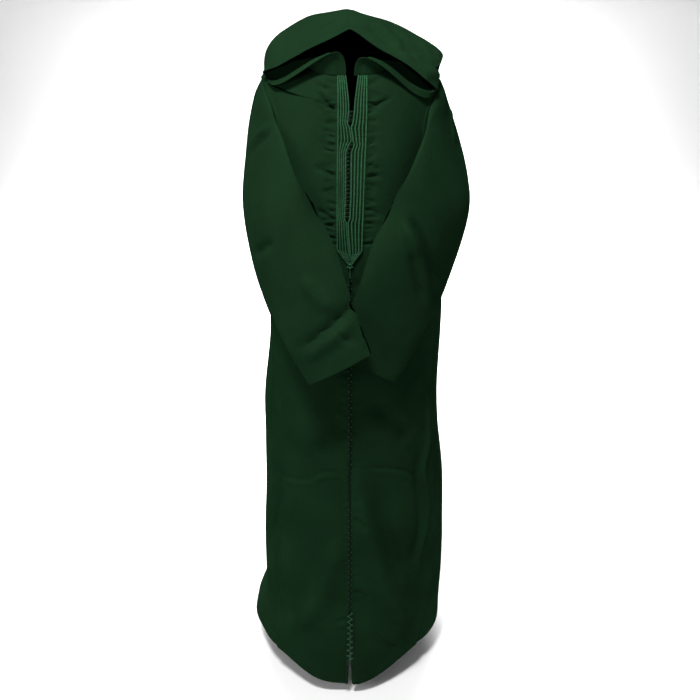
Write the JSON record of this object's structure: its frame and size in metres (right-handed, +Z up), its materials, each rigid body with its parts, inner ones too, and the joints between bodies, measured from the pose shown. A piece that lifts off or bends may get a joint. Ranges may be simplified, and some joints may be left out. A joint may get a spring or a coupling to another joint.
{
  "type": "hooded thobe",
  "caption": "Long hooded thobe worn open at the hem, with crossed sleeves, a braided front placket, side gores and a laced front vent.",
  "frame": {"origin": "where the wearer's shoulders hold the garment: on the middle plane, at the height of the high shoulder points, on the body's vertical axis", "axes": "+Z up along the body, -Y towards the front, -X towards the wearer's right"},
  "size_m": [0.515, 0.4413, 1.5491],
  "materials": {
    "cloth": "dark green fine twill with a slight sheen",
    "braid": "lighter green twisted braid and knotted cord with a satin sheen"
  },
  "bodies": {
    "root": {"front_right": "cloth", "front_left": "cloth", "gore_right": "cloth", "gore_left": "cloth", "back": "cloth", "sleeve_right": "cloth", "sleeve_left": "cloth", "hood_right": "cloth", "hood_left": "cloth", "placket_braid_right": "braid", "placket_braid_left": "braid", "knot_row": "braid", "seam_cord": "braid", "vent_braid_right": "braid", "vent_braid_left": "braid", "vent_lacing": "braid"}
  },
  "joints": []
}
